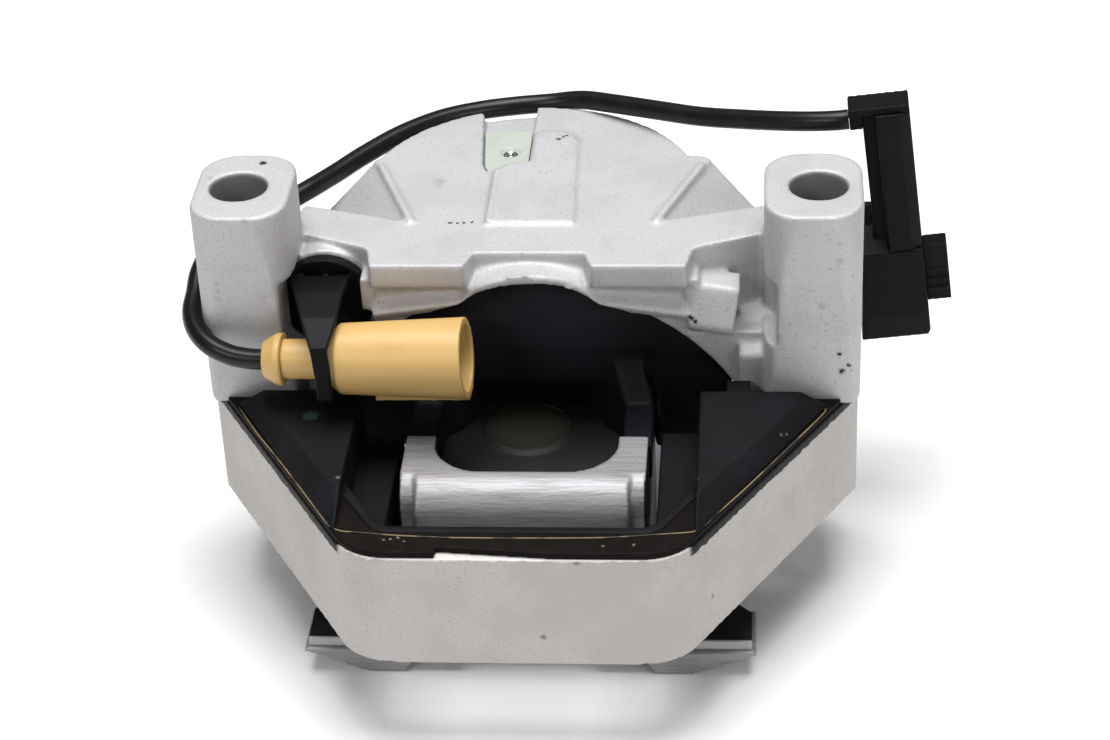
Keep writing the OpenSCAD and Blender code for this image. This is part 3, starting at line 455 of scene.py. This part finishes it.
def path_tube(name, points, radius, sides, material):
    """Round tube along a smooth path through the points, made by Geometry Nodes and baked to a mesh."""
    tree = bpy.data.node_groups.new(name, "GeometryNodeTree")
    tree.interface.new_socket("Path", in_out="INPUT", socket_type="NodeSocketGeometry")
    sizes = {"Radius": ("NodeSocketFloat", radius * mm), "Sides": ("NodeSocketInt", sides),
             "Step": ("NodeSocketFloat", 1.0 * mm)}
    for title, (kind, value) in sizes.items():
        tree.interface.new_socket(title, in_out="INPUT", socket_type=kind)
    tree.interface.new_socket("Tube", in_out="OUTPUT", socket_type="NodeSocketGeometry")
    start = tree.nodes.new("NodeGroupInput")
    end = tree.nodes.new("NodeGroupOutput")
    curve = tree.nodes.new("GeometryNodeMeshToCurve")
    spline = tree.nodes.new("GeometryNodeCurveSplineType")
    spline.spline_type = "CATMULL_ROM"
    even = tree.nodes.new("GeometryNodeResampleCurve")
    even.mode = "LENGTH"
    ring = tree.nodes.new("GeometryNodeCurvePrimitiveCircle")
    tube = tree.nodes.new("GeometryNodeCurveToMesh")
    tube.inputs["Fill Caps"].default_value = True
    real = tree.nodes.new("GeometryNodeRealizeInstances")
    finish = tree.nodes.new("GeometryNodeSetMaterial")
    finish.inputs["Material"].default_value = material
    tree.links.new(start.outputs["Path"], curve.inputs["Mesh"])
    tree.links.new(curve.outputs["Curve"], spline.inputs["Curve"])
    tree.links.new(spline.outputs["Curve"], even.inputs["Curve"])
    tree.links.new(start.outputs["Step"], even.inputs["Length"])
    tree.links.new(start.outputs["Radius"], ring.inputs["Radius"])
    tree.links.new(start.outputs["Sides"], ring.inputs["Resolution"])
    tree.links.new(even.outputs["Curve"], tube.inputs["Curve"])
    tree.links.new(ring.outputs["Curve"], tube.inputs["Profile Curve"])
    tree.links.new(tube.outputs["Mesh"], real.inputs["Geometry"])
    tree.links.new(real.outputs["Geometry"], finish.inputs["Geometry"])
    tree.links.new(finish.outputs["Geometry"], end.inputs["Tube"])
    verts = [[value * mm for value in point] for point in points]
    piece = add_mesh(name, verts, [], [(i, i + 1) for i in range(len(verts) - 1)])
    grown = piece.modifiers.new("tube", "NODES")
    grown.node_group = tree
    for item in tree.interface.items_tree:
        if item.item_type == "SOCKET" and item.name in sizes:
            grown[item.identifier] = sizes[item.name][1]
    bake_modifiers(piece)
    piece.data.shade_smooth()
    return piece


def join_into(piece, others):
    """Add other pieces' meshes to a piece, each with its own material."""
    work = bmesh.new()
    work.from_mesh(piece.data)
    for other in others:
        slot = len(piece.data.materials)
        piece.data.materials.append(other.data.materials[0])
        before = len(work.faces)
        work.from_mesh(other.data)
        work.faces.ensure_lookup_table()
        for face in work.faces[before:]:
            face.material_index = slot
            face.smooth = True
        mesh = other.data
        bpy.data.objects.remove(other)
        bpy.data.meshes.remove(mesh)
    work.to_mesh(piece.data)
    work.free()


pad_rubber = moulded_rubber("pad rubber", (0.0055, 0.005, 0.0068), roughness=0.62)
dust = [(57, -20.5, 31, 0.35), (58.8, -29.1, 31.2, 0.4), (57.4, -30, 31.6, 0.4), (39.4, -50.2, 33, 0.5),
        (-40.8, -51.8, 32.5, 0.6), (-40, -50.6, 33.2, 0.5)]
tint(pad_rubber, spots(pad_rubber, dust), (0.11, 0.11, 0.12))
paint_dot = spots(pad_rubber, [(-49.3, -26, 33.6, 1.7)], blur=0.25)
tint(pad_rubber, paint_dot, (0.012, 0.04, 0.034))
lacquer = principled("bonding lacquer", (0.24, 0.175, 0.085), roughness=0.4)
mottle(lacquer, (0.035, 0.026, 0.018), scale=120, start=0.46, end=0.6, detail=2)
lining = copy_of("stop_lining")
add_blocks(lining, (45, 50.5), (-15.4, -8), (22, 32))
soften(lining, voxel=0.45 * mm, rounds=3, triangles=70000)
dress(lining, "stop_lining", pad_rubber)
line_z = 29.55
line_r = 0.17
line_sides = 6
line_left = [(-67.8, -16.4), (-61.6, -27.6), (-55.2, -38), (-46.9, -52.1), (-42.4, -59.9), (-40.1, -63.3),
             (-37.6, -64.9), (-33.4, -65.4), (-25.4, -66.4), (-13.6, -67.1)]
line_right = [(-13.6, -67.1), (1.5, -67.1), (18.7, -66.7), (31.5, -65.3), (38.5, -64.3), (40.6, -62.4),
              (43.1, -58.3), (49.5, -48.1), (58.1, -33.6), (66.8, -18.6), (67.4, -16.2), (66.4, -15.3)]
edge_lines = [path_tube("line", [(x, y, line_z) for x, y in points], line_r, line_sides, lacquer)
              for points in (line_left, line_right)]
join_into(lining, edge_lines)


# Core
# The inner casting carries the engine bolt. Its bar and prongs are tumbled
# aluminium with fine streaks along the bar and a round ejector mark on each
# prong, and the pocket between them is filmed with the spring's rubber.
bare = 0.5
tumbled = principled("core casting", (0.335, 0.326, 0.34), roughness=bare, metallic=bare)
mottle(tumbled, (0.25, 0.242, 0.252), scale=1600, start=0.42, end=0.7, stretch=(0.06, 1, 1))
mottle(tumbled, (0.24, 0.24, 0.24), scale=1500, start=0.66, end=0.8, detail=2)
grain(tumbled, scale=1700, strength=0.5, reach=0.14 * mm, stretch=(0.3, 1, 1))
beyond = 60
# The core's flanks beside the lining are painted near-black: painted shade on bare aluminium that lies between the
# core and the lining.
flank_x = 27.15
painted_shade_flanks = joined(tumbled, "MAXIMUM", span(tumbled, "X", flank_x, beyond, soft=0.15),
                span(tumbled, "X", -beyond, -flank_x, soft=0.15))
painted_shade_flanks = overlap(tumbled, painted_shade_flanks, span(tumbled, "Y", -beyond, 5), span(tumbled, "Z", -16, 27.9))
prong_top = span(tumbled, "Z", 27.8, 30)
for mark_x in (-23.4, 21.9):
    ejector_mark = ring_mark(tumbled, mark_x, -35.6, radius=3.3, width=0.35)
    tint(tumbled, overlap(tumbled, ejector_mark, prong_top), (0.3, 0.3, 0.3))
pocket_x = 21.6
pocket = overlap(tumbled, span(tumbled, "X", -pocket_x, pocket_x), span(tumbled, "Y", -41.2, beyond),
                 span(tumbled, "Z", 15, 28))
# Near-black over the pocket for the spring's rubber film bonded in it, and over the flanks as painted shade.
film_and_painted_shade = joined(tumbled, "MAXIMUM", pocket, painted_shade_flanks)
tint(tumbled, film_and_painted_shade, (0.0045, 0.0045, 0.0032))
# A dark olive disc on the pocket's floor is painted shade with a greenish painted reflection, and a paler arc on
# its rear rim is a painted highlight.
disc_x, disc_y = -1.9, -4.8
disc_level = span(tumbled, "Z", 16.3, 18)
painted_shade_disc = ring_mark(tumbled, disc_x, disc_y, radius=0, width=12)
tint(tumbled, overlap(tumbled, painted_shade_disc, disc_level), (0.021, 0.0225, 0.0135))
disc_rear = overlap(tumbled, disc_level, span(tumbled, "Y", 1.5, 8))
painted_highlight_rim = ring_mark(tumbled, disc_x, disc_y, radius=10.1, width=0.45)
tint(tumbled, overlap(tumbled, painted_highlight_rim, disc_rear), (0.16, 0.13, 0.06))
core_shader = tumbled.node_tree.nodes["Principled BSDF"].inputs
less_metal = joined(tumbled, "SUBTRACT", bare, joined(tumbled, "MULTIPLY", film_and_painted_shade, bare))
tumbled.node_tree.links.new(less_metal, core_shader["Metallic"])
duller = joined(tumbled, "ADD", bare, joined(tumbled, "MULTIPLY", film_and_painted_shade, 0.12))
tumbled.node_tree.links.new(duller, core_shader["Roughness"])
core = copy_of("core")
soften(core, voxel=0.5 * mm, rounds=3, triangles=90000)
dress(core, "core", tumbled)


# Foot pads
# Two thin rubber pads are moulded on the core's feet. Their front and outer
# faces are painted a light grey as painted light.
foot_rubber = moulded_rubber("foot pad rubber", (0.015, 0.015, 0.018), roughness=0.6)
rim_x, rim_y, rim_soft = 51.5, -46.4, 0.15
outer_rims = joined(foot_rubber, "MAXIMUM", span(foot_rubber, "X", rim_x, beyond, soft=rim_soft),
                    span(foot_rubber, "X", -beyond, -rim_x, soft=rim_soft))
painted_light_faces = joined(foot_rubber, "MAXIMUM", span(foot_rubber, "Y", -beyond, rim_y, soft=rim_soft), outer_rims)
# Painted light: the pads' front and outer faces are painted a light grey.
tint(foot_rubber, painted_light_faces, (0.42, 0.41, 0.43))
for node in ("left_foot_pad", "right_foot_pad"):
    pad = copy_of(node)
    soften(pad, voxel=0.3 * mm, rounds=3, triangles=15000)
    dress(pad, node, foot_rubber)


# Main spring
# The rubber spring fills the bridge's arch and runs down round the core. It
# is moulded and bonded between the housing and the core, and its bulged front
# carries a bluish painted highlight in the middle.
spring_rubber = moulded_rubber("spring rubber", (0.006, 0.0058, 0.008), roughness=0.5)
# Painted highlight: paler bluish patches on the middle of the bulged front.
painted_bluish_highlight = spots(spring_rubber, [(4, -1, 42, 15), (-12, 0, 36, 9)], blur=0.75)
tint(spring_rubber, painted_bluish_highlight, (0.02, 0.0195, 0.026))
spring = copy_of("main_spring")
soften(spring, voxel=0.5 * mm, rounds=20, triangles=90000)
dress(spring, "main_spring", spring_rubber)


# Collar, channel plates, membrane and bellows
# Two pressed steel rings, two die-cast aluminium plates and two rubber skins
# close and divide the fluid chamber. They are pressed into the housing.
def bare_metal(name, color, roughness):
    """Plain metal with faint clouds and a fine grain."""
    material = principled(name, color, roughness, metallic=1.0)
    mottle(material, [value * 0.85 for value in color], scale=300, start=0.4, end=0.7)
    grain(material, scale=900, strength=0.15, reach=0.05 * mm)
    return material


def refinish(node, material):
    """Give a CAD node that is shown as it is a better material."""
    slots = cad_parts[node].data.materials
    slots.clear()
    slots.append(material)


steel = bare_metal("pressed steel", (0.5, 0.51, 0.53), roughness=0.4)
plate = bare_metal("plate aluminium", (0.7, 0.7, 0.72), roughness=0.4)
skin_rubber = moulded_rubber("bellows rubber", (0.018, 0.018, 0.02), roughness=0.55)
for node in ("spring_collar", "bellows_ring"):
    refinish(node, steel)
for node in ("channel_plate_lower", "channel_plate_upper"):
    refinish(node, plate)
for node in ("decoupler_membrane", "bellows"):
    refinish(node, skin_rubber)


# Vent plug
# A greenish-white plastic plug closes the air hole in the lid and is held by
# a small zinc-plated rivet.
def turned(name, profile, center, segments=48):
    """Round part from its half section (radius, height) in millimetres, turned about an upright axis."""
    verts, faces = [], []
    for radius, height in profile:
        for k in range(segments):
            angle = 2 * math.pi * k / segments
            verts.append(((center[0] + radius * math.cos(angle)) * mm, (center[1] + radius * math.sin(angle)) * mm,
                          (center[2] + height) * mm))
    for ring in range(len(profile) - 1):
        for k in range(segments):
            a, b = ring * segments + k, ring * segments + (k + 1) % segments
            faces.append((a, b, b + segments, a + segments))
    faces.append(tuple(reversed(range(segments))))
    faces.append(tuple(range((len(profile) - 1) * segments, len(profile) * segments)))
    return add_mesh(name, verts, faces)


rivet_low, rivet_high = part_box("vent_rivet")
rivet_at = [(rivet_low[i] + rivet_high[i]) / 2 / mm for i in range(2)]
plug_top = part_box("vent_plug")[1][2] / mm
plug_white = principled("plug plastic", (0.44, 0.47, 0.425), roughness=0.45)
mottle(plug_white, (0.39, 0.43, 0.385), scale=140, start=0.4, end=0.75)
grain(plug_white, scale=600, strength=0.1, reach=0.05 * mm)
plug = copy_of("vent_plug")
dimple = turned("dimple", [(1.7, -0.8), (2.1, -0.5), (2.6, 0), (3.4, 0.6)], (*rivet_at, plug_top))
cut_away(plug, dimple)
soften(plug, voxel=0.2 * mm, rounds=4, triangles=25000)
dress(plug, "vent_plug", plug_white)
zinc = bare_metal("zinc plate", (0.62, 0.61, 0.58), roughness=0.25)
shaft_r = 1.2
head_r = 1.9
rivet_base = rivet_low[2] / mm
rivet_h = rivet_high[2] / mm - rivet_base
shaft = [(shaft_r - 0.2, 0), (shaft_r, 0.2), (shaft_r, rivet_h - 1.0)]
head = [(head_r, rivet_h - 0.9), (head_r, rivet_h - 0.55), (head_r - 0.25, rivet_h - 0.35)]
hollow = [(1.15, rivet_h - 0.45), (1.05, rivet_h - 0.75), (0.8, rivet_h - 0.75)]
tip = [(0.62, rivet_h - 0.2), (0.3, rivet_h), (0.02, rivet_h)]
rivet = turned("vent_rivet_finished", shaft + head + hollow + tip, (*rivet_at, rivet_base))
rivet.data.shade_smooth()
dress(rivet, "vent_rivet", zinc)


# Connector
# The plug on the lead's end is moulded in beige plastic: a drawn-in nose, a
# round shroud with a slanted mouth, and a flared cap pressed on the neck.
beige = principled("beige plastic", (0.62, 0.40, 0.14), roughness=0.42)
mottle(beige, (0.58, 0.365, 0.125), scale=90, start=0.42, end=0.72)
grain(beige, scale=1000, strength=0.12, reach=0.05 * mm)
for node, triangles in (("connector_shell", 55000), ("connector_cap", 25000)):
    part = copy_of(node)
    soften(part, voxel=0.25 * mm, rounds=3, triangles=triangles)
    dress(part, node, beige)


# Lead clip, control unit and boot
# The strap that holds the connector, the control unit's box, cover, column
# and socket, and the boot at the lead's end are moulded in black plastic.
black = principled("black plastic", (0.0045, 0.0042, 0.0056), roughness=0.5, specular=0.12)
mottle(black, (0.007, 0.0066, 0.0088), scale=80, start=0.45, end=0.75)
grain(black, scale=1300, strength=0.2, reach=0.06 * mm)
mouldings = [("lead_clip", 0.25, 40000), ("unit_housing", 0.3, 40000), ("unit_cover", 0.3, 25000),
             ("unit_top", 0.25, 20000), ("lead_boot", 0.2, 15000), ("unit_socket", 0.2, 45000)]
for node, voxel, triangles in mouldings:
    part = copy_of(node)
    soften(part, voxel=voxel * mm, rounds=2, triangles=triangles)
    dress(part, node, black)
refinish("connector_insert", black)


# Contacts and screws
# Stamped brass pins stand in both sockets, and two zinc-plated screws hold
# the control unit's box to the casting's arm.
brass = bare_metal("contact brass", (0.75, 0.55, 0.25), roughness=0.3)
for node in ("connector_pins", "unit_pins"):
    refinish(node, brass)
refinish("unit_screws", zinc)


# Lead
# A glossy black two-core lead runs from the boot over the lid and round the
# left post to the connector's cap, held at both ends.
lead_r = 2.4
lead_sides = 20
lead_route = [
    (73.2, 36.5, 76.4), (70, 36.6, 76), (64, 38.2, 75), (57, 41.2, 73.6), (49, 45.5, 71.8), (38, 51.8, 69.4),
    (26, 59.5, 67.4), (16, 65.7, 65.9), (8, 70.4, 64.5), (0, 72.45, 62.7), (-9, 72.25, 62), (-18, 69.5, 62.1),
    (-27, 64.4, 62.4), (-36, 56.4, 62.3), (-44, 47.2, 61.6), (-50, 39, 61), (-56.5, 29.9, 60.8), (-63, 23.8, 59.6),
    (-70, 19.6, 57.3), (-76.2, 14.4, 54.6), (-78.5, 7, 52.4), (-78.6, 0, 50.4), (-78.5, -6, 49.1),
    (-76.6, -12, 48.1), (-72.9, -16.8, 47), (-67.8, -19.2, 45.7), (-63, -19.9, 45.1), (-59.7, -20, 45.1)]
sheath = principled("lead sheath", (0.005, 0.005, 0.006), roughness=0.33, specular=0.3)
mottle(sheath, (0.008, 0.008, 0.0095), scale=200, start=0.5, end=0.75, detail=2)
grain(sheath, scale=500, strength=0.08, reach=0.05 * mm)
lead = path_tube("lead_finished", lead_route, lead_r, lead_sides, sheath)
dress(lead, "lead", sheath)
